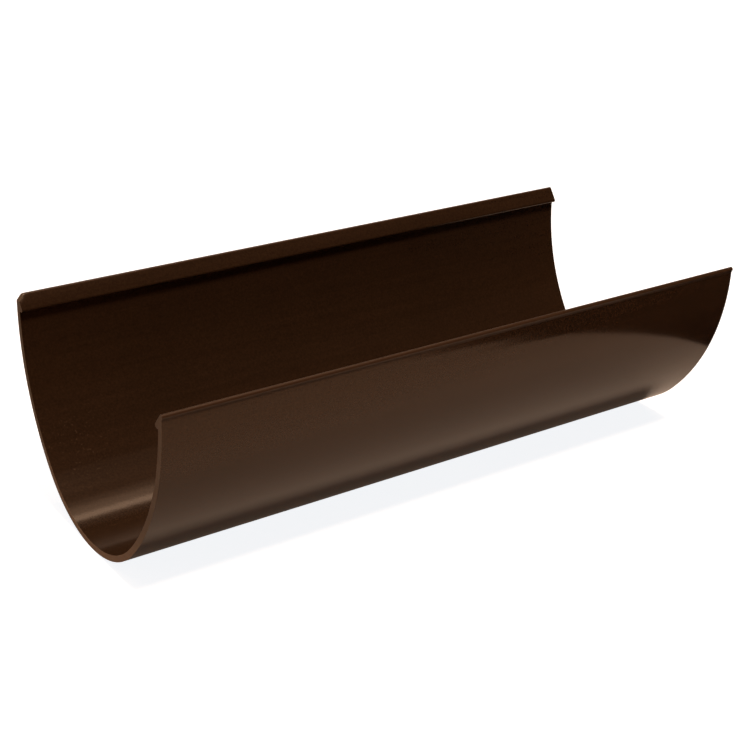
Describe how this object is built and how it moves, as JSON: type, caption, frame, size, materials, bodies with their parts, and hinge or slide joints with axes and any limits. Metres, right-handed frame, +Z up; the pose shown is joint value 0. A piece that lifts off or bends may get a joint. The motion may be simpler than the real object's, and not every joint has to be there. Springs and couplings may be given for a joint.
{
  "type": "gutter section",
  "caption": "Short cut length of deep-flow rainwater gutter: a curved channel, open at the top and at both ends, with a hooked bead along each rim.",
  "frame": {"origin": "under the middle of the length, on the surface that the round bottom lies on", "axes": "+X along the gutter, +Y across it, +Z up through the open side"},
  "size_m": [0.25, 0.111, 0.0765],
  "materials": {
    "brown_upvc": "semi-gloss"
  },
  "bodies": {
    "root": {"gutter_channel": "brown_upvc"}
  },
  "joints": []
}
